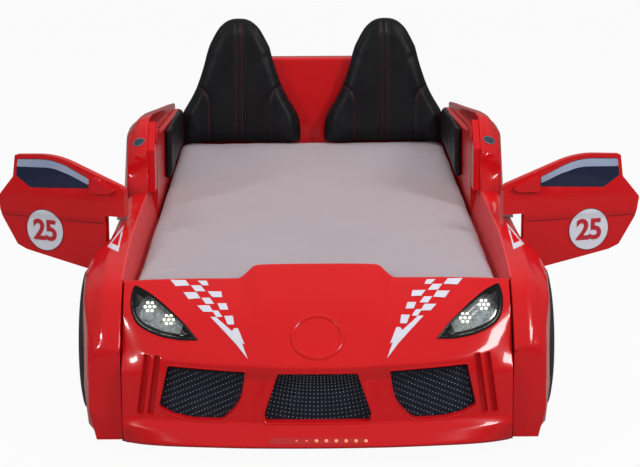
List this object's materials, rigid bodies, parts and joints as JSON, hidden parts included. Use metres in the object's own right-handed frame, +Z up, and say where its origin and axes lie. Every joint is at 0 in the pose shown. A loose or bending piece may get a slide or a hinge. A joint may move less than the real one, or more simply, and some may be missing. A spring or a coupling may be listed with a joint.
{
  "type": "children's bed",
  "caption": "Children's bed in the shape of a low red sports car, with opening doors, padded seat backs, lamps and a mattress on slats.",
  "frame": {"origin": "on the floor, at the middle of the foot under the slats, which is the middle of the body's length", "axes": "+Y from the bumper to the head end, +X to the right of someone who faces the bumper, +Z up"},
  "size_m": [1.7466, 2.278, 0.818],
  "materials": {
    "red_moulding": "glossy red moulded plastic",
    "red_board": "red film on board, gloss",
    "slat_wood": "bare planed pine",
    "black_plastic": "satin black",
    "zinc_steel": "zinc plated",
    "mattress_cover": "fine mauve-grey weave",
    "seat_leather": "black imitation leather, red stitching",
    "tyre_black": "matt black",
    "rim_silver": "silver paint",
    "lamp_lens": "clear",
    "lamp_mirror": "bright metallised",
    "lamp_white": "lit white lamps",
    "grille_black": "black with rows of pale dots",
    "badge_silver": "plain oval",
    "window_navy": "navy film with a paler band",
    "roundel_white": "white with a red number",
    "lamp_bar_red": "red",
    "lamp_red": "lit red lamps"
  },
  "bodies": {
    "bed": {"front_shell": "red_moulding", "left_side_shell": "red_moulding", "right_side_shell": "red_moulding", "head_cover": "red_moulding", "left_side_board": "red_board", "right_side_board": "red_board", "front_board": "red_board", "head_board": "red_board", "left_slat_rail": "slat_wood", "right_slat_rail": "slat_wood", "bed_slats": "slat_wood", "centre_beam": "slat_wood", "centre_foot": "black_plastic", "floor_glides": "black_plastic", "corner_brackets": "zinc_steel", "bracket_bolts": "zinc_steel", "mattress": "mattress_cover", "left_seat_back": "seat_leather", "left_side_pad": "seat_leather", "left_front_tyre": "tyre_black", "left_front_rim": "rim_silver", "left_rear_tyre": "tyre_black", "left_rear_rim": "rim_silver", "left_headlight_bezel": "black_plastic", "left_headlight_lens": "lamp_lens", "left_headlight_reflector": "lamp_mirror", "left_headlight_cluster": "lamp_white", "left_grille": "grille_black", "left_badge": "badge_silver", "left_sill_hinge": "zinc_steel", "right_seat_back": "seat_leather", "right_side_pad": "seat_leather", "right_front_tyre": "tyre_black", "right_front_rim": "rim_silver", "right_rear_tyre": "tyre_black", "right_rear_rim": "rim_silver", "right_headlight_bezel": "black_plastic", "right_headlight_lens": "lamp_lens", "right_headlight_reflector": "lamp_mirror", "right_headlight_cluster": "lamp_white", "right_grille": "grille_black", "right_badge": "badge_silver", "right_sill_hinge": "zinc_steel", "centre_grille": "grille_black", "bumper_lamp_bar": "lamp_bar_red", "bumper_lamps": "lamp_red", "power_inlet": "black_plastic", "lamp_driver": "black_plastic"},
    "left_door": {"left_door_board": "red_board", "left_door_skin": "red_moulding", "left_door_window": "window_navy", "left_door_roundel": "roundel_white", "left_mirror_base": "red_moulding", "left_door_hinge_leaf": "zinc_steel"},
    "right_door": {"right_door_board": "red_board", "right_door_skin": "red_moulding", "right_door_window": "window_navy", "right_door_roundel": "roundel_white", "right_mirror_base": "red_moulding", "right_door_hinge_leaf": "zinc_steel"}
  },
  "joints": [
    {"name": "left_door_hinge", "type": "hinge", "parent": "bed", "child": "left_door", "pos_m": [-0.54, -0.425, 0.5], "axis": [0, 0, 1], "range_deg": [-66, 19]},
    {"name": "right_door_hinge", "type": "hinge", "parent": "bed", "child": "right_door", "pos_m": [0.54, -0.425, 0.5], "axis": [0, 0, -1], "range_deg": [-75, 10]}
  ]
}
